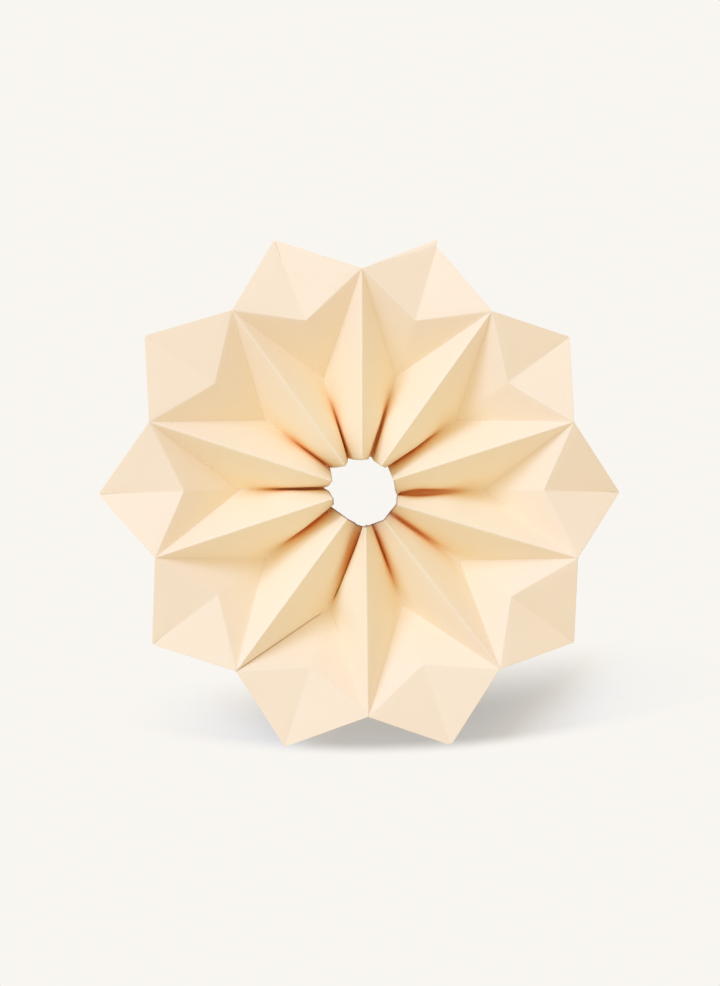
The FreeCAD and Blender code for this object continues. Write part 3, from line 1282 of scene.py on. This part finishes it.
    def rounded(self, mesh: bpy.types.Mesh, places: np.ndarray) -> np.ndarray:
        """Return a mesh's places with each fold pulled half of the way to the chord across it.

        Args:
            mesh: the sheet, which says which edges are folds.
            places: its places.

        Returns:
            The places with the folds rounded.
        """
        ends = pull(mesh.edges, "vertices", 2, int)
        flags = pull(mesh.attributes["fold"].data, "value", 1, bool)[:, 0]
        on_fold = np.zeros(len(places), bool)
        on_fold[ends[flags].ravel()] = True
        total, count = np.zeros_like(places), np.zeros(len(places))
        for a, b in (ends[~flags].T, ends[~flags][:, ::-1].T):
            np.add.at(total, a, places[b])
            np.add.at(count, a, 1)
        chosen = on_fold & (count == 2)
        rounded = places.copy()
        rounded[chosen] = (places[chosen] + total[chosen] / 2) / 2
        return rounded

    def thicken(self, name: str, mesh: bpy.types.Mesh) -> bpy.types.Object:
        """Give a sheet its thickness and its cut edge, and return it as a piece.

        Args:
            name: the piece's name.
            mesh: the sheet's middle surface.

        Returns:
            The piece.
        """
        mesh.name = name
        mesh.materials.append(self.cut_edge)
        piece = new_object(name, mesh)
        wall = piece.modifiers.new("thickness", "SOLIDIFY")
        wall.thickness, wall.offset = self.sizes.thickness, 0.0
        wall.material_offset_rim = 1
        solid = finished_mesh(piece)
        piece.modifiers.clear()
        piece.data = solid
        bpy.data.meshes.remove(mesh)
        solid.name = name
        solid.attributes.remove(solid.attributes["fold"])
        solid.shade_smooth()
        return piece


# ---------------------------------------------------------------- the thread


def twist_tree() -> bpy.types.NodeTree:
    """Return the tree that lays twisted plies along a curve, splayed where the thread is frayed.

    Returns:
        The geometry node tree.
    """
    tree = new_group(
        "Twisted Thread", "GeometryNodeTree",
        [("Geometry", "NodeSocketGeometry", None), ("Plies", "NodeSocketInt", 3),
         ("Ply Radius", "NodeSocketFloat", 0.00019), ("Lay Radius", "NodeSocketFloat", 0.0002),
         ("Pitch", "NodeSocketFloat", 0.0022), ("Step", "NodeSocketFloat", 0.00025),
         ("Corner", "NodeSocketFloat", 0.0006), ("Fray", "NodeSocketFloat", 0.0),
         ("Wobble", "NodeSocketFloat", 0.00004), ("Seed", "NodeSocketInt", 3),
         ("Cotton", "NodeSocketMaterial", None)],
        [("Geometry", "NodeSocketGeometry")],
    )
    pen = Sketch(tree)
    given = pen.node("NodeGroupInput").outputs
    inputs = {0: given["Geometry"], "Radius": given["Corner"], "Limit Radius": True, "Count": CORNER_POINTS}
    soft = pen.node("GeometryNodeFilletCurve", inputs, mode="POLY")
    fine = pen.node("GeometryNodeResampleCurve", {0: soft.outputs[0], "Length": given["Step"]}, mode="LENGTH")
    inputs = {0: fine.outputs[0], "Amount": given["Plies"]}
    plies = pen.node("GeometryNodeDuplicateElements", inputs, domain="SPLINE")
    along = pen.node("GeometryNodeSplineParameter")
    turns = pen.math("DIVIDE", along.outputs["Length"], given["Pitch"])
    share = pen.math("DIVIDE", plies.outputs["Duplicate Index"], given["Plies"])
    angle = pen.math("MULTIPLY", pen.math("ADD", turns, share), math.tau)
    normal = pen.node("GeometryNodeInputNormal").outputs[0]
    tangent = pen.node("GeometryNodeInputTangent").outputs[0]
    side = pen.vector("CROSS_PRODUCT", tangent, normal)
    splay = pen.ramp(along.outputs["Factor"], FRAY_FROM, 1.0)
    spread = pen.math("MULTIPLY_ADD", splay, given["Fray"], 1.0)
    radius = pen.math("MULTIPLY", given["Lay Radius"], spread)
    parts = [pen.vector("SCALE", direction, pen.math("MULTIPLY", pen.math(wave, angle), radius))
             for direction, wave in ((normal, "COSINE"), (side, "SINE"))]
    inputs = {"W": given["Seed"], "Scale": WOBBLE_SCALE, "Detail": 1.0}
    noise = pen.node("ShaderNodeTexNoise", inputs, noise_dimensions="4D")
    jitter = pen.vector("SCALE", pen.vector("SUBTRACT", noise.outputs[1], (0.5, 0.5, 0.5)), given["Wobble"])
    moved = pen.vector("ADD", pen.vector("ADD", *parts), jitter)
    laid = pen.node("GeometryNodeSetPosition", {0: plies.outputs[0], "Offset": moved})
    inputs = {"Resolution": PLY_SIDES, "Radius": given["Ply Radius"]}
    profile = pen.node("GeometryNodeCurvePrimitiveCircle", inputs).outputs[0]
    inputs = {0: laid.outputs[0], "Profile Curve": profile, "Fill Caps": True}
    tube = pen.node("GeometryNodeCurveToMesh", inputs)
    real = pen.node("GeometryNodeRealizeInstances", {0: tube.outputs[0]})
    smooth = pen.node("GeometryNodeSetShadeSmooth", {0: real.outputs[0], "Shade Smooth": True})
    dressed = pen.node("GeometryNodeSetMaterial", {0: smooth.outputs[0], "Material": given["Cotton"]})
    pen.node("NodeGroupOutput", {0: dressed.outputs[0]})
    return tree


@dataclass
class GatheringThread:
    """The thread through all the panels near the hole, with its knot and two cut tails."""

    star: FoldedStar
    cotton: bpy.types.Material
    knot_point: int = 7
    knot_from_panel: float = 0.0033
    knot_size: float = 0.0011
    knot_pull: float = 0.62
    knot_depth: float = 0.55
    knot_ply: float = 0.00021
    knot_steps: int = 48
    tail_reaches: tuple[float, float] = (0.0030, 0.0026)
    tail_drop: float = 0.0052
    tail_droop: float = 2.2
    tail_fray: float = 1.6
    tail_steps: int = 12
    tail_spread: float = 24.0

    def __post_init__(self) -> None:
        """Make the tree that twists the plies."""
        self.tree = twist_tree()

    def build(self) -> list[bpy.types.Object]:
        """Return the ring, the knot and the two tails.

        Returns:
            The four pieces in that order.
        """
        places = self.star.crossings
        after = 2 * self.knot_point + 2
        start, end = places[after - 1], places[after]
        along = (end - start) / np.linalg.norm(end - start)
        knot = start + along * self.knot_from_panel
        ring = self.laid("gathering_thread_ring", places.tolist(), True, {})
        curl = self.laid("gathering_thread_knot", self.knot_path(knot, along), True,
                         {"Ply Radius": self.knot_ply, "Corner": 0.0})
        inwards = self.inward_direction()
        values = {"Fray": self.tail_fray, "Corner": 0.0}
        tails = []
        for name, side, reach in zip(("left", "right"), (1, -1), self.tail_reaches):
            turn = np.array(Matrix.Rotation(math.radians(side * self.tail_spread), 3, "Z"))
            path = self.tail_path(knot, (turn @ inwards) * reach)
            tails.append(self.laid("gathering_thread_tail_" + name, path, False, values))
        return [ring, curl, *tails]

    def inward_direction(self) -> np.ndarray:
        """Return the level direction from the knot's point of the star towards the hole."""
        sector = math.radians(self.knot_point * self.star.sizes.sector + 180.0)
        return np.array([math.cos(sector), math.sin(sector), 0.0])

    def tail_path(self, start: np.ndarray, span: np.ndarray) -> list[list[float]]:
        """Return a cut tail's path, which leaves the knot level and droops.

        Args:
            start: the knot's place.
            span: how far the tail reaches, as a level vector.

        Returns:
            The points of the path.
        """
        drop = np.array([0.0, 0.0, -self.tail_drop])
        shares = np.linspace(0.0, 1.0, self.tail_steps)
        return [(start + span * math.sin(share * math.pi / 2) + drop * share ** self.tail_droop).tolist()
                for share in shares]

    def knot_path(self, centre: np.ndarray, along: np.ndarray) -> list[list[float]]:
        """Return a small pulled-tight overhand knot, as a closed run round the thread's line.

        Args:
            centre: the knot's place.
            along: the thread's direction there.

        Returns:
            The points of the path.
        """
        up = np.array([0.0, 0.0, 1.0])
        side = np.cross(up, along)
        path = []
        for turn in np.linspace(0.0, math.tau, self.knot_steps, endpoint=False):
            swing = (2 + math.cos(3 * turn)) / 3
            spot = (side * math.cos(2 * turn) * swing + up * math.sin(2 * turn) * swing
                    + along * self.knot_depth * math.sin(3 * turn))
            path.append((centre + spot * (self.knot_size * self.knot_pull)).tolist())
        return path

    def laid(
        self, name: str, path: list[list[float]], closed: bool, values: dict[str, float],
    ) -> bpy.types.Object:
        """Lay twisted plies along a path.

        Args:
            name: the piece's name.
            path: the points that the thread follows.
            closed: whether the path joins up with itself.
            values: inputs of the tree that differ from its defaults.

        Returns:
            The piece.
        """
        curve = bpy.data.curves.new(name, "CURVE")
        curve.dimensions = "3D"
        spline = curve.splines.new("POLY")
        spline.points.add(len(path) - 1)
        for point, place in zip(spline.points, path):
            point.co = (*place, 1.0)
        spline.use_cyclic_u = closed
        guide = new_object(name + "_guide", curve)
        mesh = bake_nodes(guide, self.tree, {**values, "Cotton": self.cotton})
        bpy.data.objects.remove(guide)
        mesh.name = name
        return new_object(name, mesh)


# ---------------------------------------------------------------- the studio


@dataclass
class Studio:
    """The pale table, the soft light and the camera that looks down on the star."""

    ridge_height: float
    floor_colour: Colour = (0.655, 0.710, 0.805, 1.0)
    pale: Colour = (0.947, 0.922, 0.880, 1.0)
    floor_half: float = 6.0
    floor_roughness: float = 0.9
    floor_specular: float = 0.1
    shadow_start: tuple[float, float] = (-0.101, -0.140)
    shadow_end: tuple[float, float] = (-0.158, -0.149)
    shadow_skew: float = -0.10
    shadow_round: float = -0.7
    shadow_share: float = 0.88
    under_star: tuple[float, float, float, float] = (0.026, 0.034, 0.112, 0.126)
    key_direction: tuple[float, float] = (130.0, 41.0)
    key_softness: float = 24.0
    key_colour: tuple[float, float, float] = (0.25, 0.33, 0.55)
    table_direction: tuple[float, float] = (114.0, 31.0)
    table_softness: float = 60.0
    table_colour: tuple[float, float, float] = (0.895, 0.683, 0.210)
    sky_colour: Colour = (0.82, 0.73, 0.625, 1.0)
    eye: tuple[float, float, float] = (-0.0323, 0.0412, 1.431)
    aim: tuple[float, float] = (-0.00143, -0.00115)
    lens: float = 125.0
    sensor_width: float = 36.0
    sees_from: float = 0.05
    sees_to: float = 40.0

    def build(self) -> None:
        """Make the floor, the lights and the camera."""
        floor = self.make_floor()
        self.make_sky()
        self.make_lamp("key", self.key_direction, self.key_softness, self.key_colour)
        lamp = self.make_lamp("table_key", self.table_direction, self.table_softness, self.table_colour)
        lamp.light_linking.receiver_collection = bpy.data.collections.new("table_only")
        lamp.light_linking.receiver_collection.objects.link(floor)
        self.make_camera()

    def make_floor(self) -> bpy.types.Object:
        """Return the table that the star lies on.

        Returns:
            The table.
        """
        half, level = self.floor_half, float(CAD_BOX[0].z)
        mesh = bpy.data.meshes.new("table")
        corners = [(x * half, y * half, level) for x, y in ((-1, -1), (1, -1), (1, 1), (-1, 1))]
        mesh.from_pydata(corners, [], [(0, 1, 2, 3)])
        floor = new_object("table", mesh)
        mesh.materials.append(self.table_finish())
        return floor

    def table_finish(self) -> bpy.types.Material:
        """Return the table's plain pale finish.

        The camera sees the plain colour, except under the star and where its shadow falls.

        Returns:
            The material.
        """
        material = bpy.data.materials.new("pale_table")
        material.use_nodes = True
        pen = Sketch(material.node_tree)
        place = pen.node("ShaderNodeTexCoord").outputs["Object"]
        axes = pen.node("ShaderNodeSeparateXYZ", {0: place}).outputs
        flat = pen.node("ShaderNodeCombineXYZ", {0: axes[0], 1: axes[1]}).outputs[0]
        radius = pen.node("ShaderNodeVectorMath", {0: flat}, operation="LENGTH").outputs["Value"]
        slanted = pen.math("MULTIPLY_ADD", axes[0], self.shadow_skew, axes[1])
        squared = pen.math("MULTIPLY", axes[0], axes[0])
        bowed = pen.math("MULTIPLY_ADD", squared, self.shadow_round, axes[1])
        beside = pen.math("MULTIPLY", pen.ramp(slanted, *self.shadow_start),
                          pen.ramp(bowed, *self.shadow_end))
        beside = pen.math("MULTIPLY", beside, self.shadow_share)
        inner, begin, end, outer = self.under_star
        below = pen.math("MULTIPLY", pen.ramp(radius, inner, begin), pen.ramp(radius, outer, end))
        shaded = pen.math("MAXIMUM", beside, below)
        seen = pen.node("ShaderNodeLightPath").outputs
        direct = pen.math("MAXIMUM", seen["Is Camera Ray"], seen["Is Glossy Ray"])
        plain = pen.math("MULTIPLY", direct, pen.math("SUBTRACT", 1.0, shaded))
        shader = material.node_tree.nodes["Principled BSDF"]
        pen.fill(shader, {"Base Color": self.floor_colour, "Roughness": self.floor_roughness,
                          "Specular IOR Level": self.floor_specular})
        bright = pen.node("ShaderNodeEmission", {"Color": self.pale})
        mixed = pen.node("ShaderNodeMixShader", {0: plain, 1: shader.outputs[0], 2: bright.outputs[0]})
        pen.feed(material.node_tree.nodes["Material Output"].inputs["Surface"], mixed.outputs[0])
        return material

    def make_sky(self) -> None:
        """Make the even light from all round, which the camera sees as the plain pale colour."""
        world = bpy.data.worlds.new("studio")
        bpy.context.scene.world = world
        world.use_nodes = True
        pen = Sketch(world.node_tree)
        sky = world.node_tree.nodes["Background"]
        sky.inputs[0].default_value, sky.inputs[1].default_value = self.sky_colour, 1.0
        pale = pen.node("ShaderNodeBackground", {"Color": self.pale})
        seen = pen.node("ShaderNodeLightPath").outputs["Is Camera Ray"]
        mixed = pen.node("ShaderNodeMixShader", {0: seen, 1: sky.outputs[0], 2: pale.outputs[0]})
        pen.feed(world.node_tree.nodes["World Output"].inputs["Surface"], mixed.outputs[0])

    @staticmethod
    def make_lamp(
        name: str, direction: tuple[float, float], softness: float, colour: tuple[float, float, float],
    ) -> bpy.types.Object:
        """Make a soft far lamp.

        Args:
            name: the lamp's name.
            direction: the azimuth and the height that it shines from.
            softness: the angle that it fills.
            colour: its light on a surface that faces it, where 1 makes white look white.

        Returns:
            The lamp.
        """
        data = bpy.data.lights.new(name, "SUN")
        data.energy, data.angle, data.color = math.pi, math.radians(softness), colour
        lamp = new_object(name, data)
        azimuth, height = (math.radians(angle) for angle in direction)
        level = math.cos(height)
        towards = Vector((math.cos(azimuth) * level, math.sin(azimuth) * level, math.sin(height)))
        lamp.rotation_mode = "QUATERNION"
        lamp.rotation_quaternion = towards.to_track_quat("Z", "Y")
        lamp.location = towards
        return lamp

    def make_camera(self) -> None:
        """Make the camera, a little to the left of the star's axis and above it in the frame."""
        data = bpy.data.cameras.new("camera")
        data.lens, data.sensor_width, data.sensor_fit = self.lens, self.sensor_width, "HORIZONTAL"
        data.clip_start, data.clip_end = self.sees_from, self.sees_to
        camera = new_object("camera", data)
        eye = Vector((self.eye[0], self.eye[1], self.eye[2] + self.ridge_height))
        aim = Vector((self.aim[0], self.aim[1], self.ridge_height))
        back = (eye - aim).normalized()
        right = Vector((0.0, 1.0, 0.0)).cross(back).normalized()
        turn = Matrix((right, back.cross(right), back)).transposed()
        camera.matrix_world = Matrix.Translation(eye) @ turn.to_4x4()
        bpy.context.scene.camera = camera


def main() -> None:
    """Build the star, its thread and the studio."""
    logging.basicConfig(level=logging.INFO, format="%(message)s")
    bpy.context.scene.view_settings.view_transform = "Standard"
    bpy.context.scene.cycles.max_bounces = LIGHT_BOUNCES
    bpy.context.scene.cycles.diffuse_bounces = LIGHT_BOUNCES
    sizes = StripSizes()
    tooth, folds = PaperGrain().make(), FoldMarks().make(sizes)
    paper = PaperFinish().make("cream_paper_sheet", tooth, folds)
    cut_edge = CutEdgeFinish().make("cream_paper_cut_edge", tooth)
    star = FoldedStar(sizes, paper, cut_edge)
    sheet, tab = star.build(), star.build_tab()
    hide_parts("folded_star")
    thread = GatheringThread(star, ThreadFinish().make("cotton_twist"))
    strands = thread.build()
    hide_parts("gathering_thread")
    slots = [(sheet, Slot.PAPER), (tab, Slot.PAPER)] + [(strand, Slot.THREAD) for strand in strands]
    for piece, slot in slots:
        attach(piece, BODY)
        LOG.info("%s: %d faces", piece.name, len(piece.data.polygons))
    Studio(ridge_height=star.lift).build()


if __name__ == "__main__":
    main()
